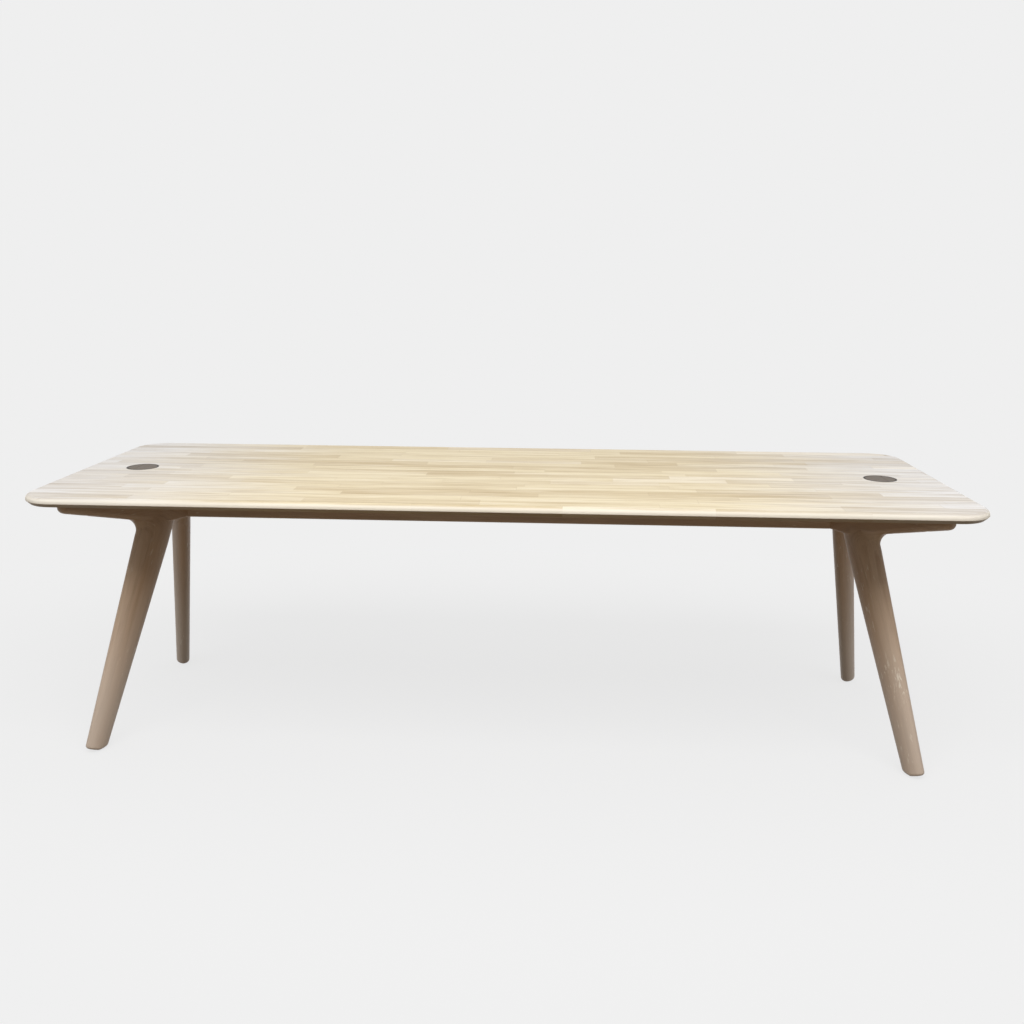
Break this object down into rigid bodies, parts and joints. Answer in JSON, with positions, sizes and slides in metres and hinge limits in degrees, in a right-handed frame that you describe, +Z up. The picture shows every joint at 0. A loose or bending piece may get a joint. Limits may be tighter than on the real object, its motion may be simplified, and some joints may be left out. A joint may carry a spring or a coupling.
{
  "type": "table",
  "caption": "Long timber table with a stave-glued top, soft round edges and flush cable outlets, on a centre spine and splayed oval legs with arms under the corners.",
  "frame": {"origin": "on the floor, under the middle of the table top", "axes": "+X along the length to the right, +Y to the rear, +Z up; the front in the picture faces -Y"},
  "size_m": [2.4, 0.8, 0.73],
  "materials": {
    "top_timber": "soaped, satin",
    "frame_timber": "oiled, satin",
    "dowel_timber": "plain",
    "zinc_steel": "zinc plated",
    "bush_brass": "turned",
    "outlet_plastic": "fine grain",
    "glide_plastic": "matt"
  },
  "bodies": {
    "table": {"table_top": "top_timber", "spine_beam": "frame_timber", "knee_front_left": "frame_timber", "knee_front_right": "frame_timber", "knee_rear_left": "frame_timber", "knee_rear_right": "frame_timber", "leg_front_left": "frame_timber", "leg_front_right": "frame_timber", "leg_rear_left": "frame_timber", "leg_rear_right": "frame_timber", "glide_front_left": "glide_plastic", "glide_front_right": "glide_plastic", "glide_rear_left": "glide_plastic", "glide_rear_right": "glide_plastic", "outlet_sleeve_left": "outlet_plastic", "outlet_sleeve_right": "outlet_plastic", "top_bolts": "zinc_steel", "top_washers": "zinc_steel", "top_inserts": "bush_brass", "spine_bolts": "zinc_steel", "spine_washers": "zinc_steel", "barrel_nuts": "zinc_steel", "mitre_dowels": "dowel_timber"},
    "lid_left": {"outlet_lid_left": "outlet_plastic", "flap_pin_left": "zinc_steel"},
    "lid_right": {"outlet_lid_right": "outlet_plastic", "flap_pin_right": "zinc_steel"},
    "flap_left": {"outlet_flap_left": "outlet_plastic"},
    "flap_right": {"outlet_flap_right": "outlet_plastic"}
  },
  "joints": [
    {"name": "lid_turn_left", "type": "hinge", "parent": "table", "child": "lid_left", "pos_m": [-1.038, 0, 0.73], "axis": [0, 0, 1], "continuous": true},
    {"name": "lid_turn_right", "type": "hinge", "parent": "table", "child": "lid_right", "pos_m": [1.038, 0, 0.73], "axis": [0, 0, 1], "continuous": true},
    {"name": "flap_hinge_left", "type": "hinge", "parent": "lid_left", "child": "flap_left", "pos_m": [-1.052, 0, 0.728], "axis": [0, 1, 0], "range_deg": [0, 90]},
    {"name": "flap_hinge_right", "type": "hinge", "parent": "lid_right", "child": "flap_right", "pos_m": [1.052, 0, 0.728], "axis": [0, -1, 0], "range_deg": [0, 90]}
  ]
}
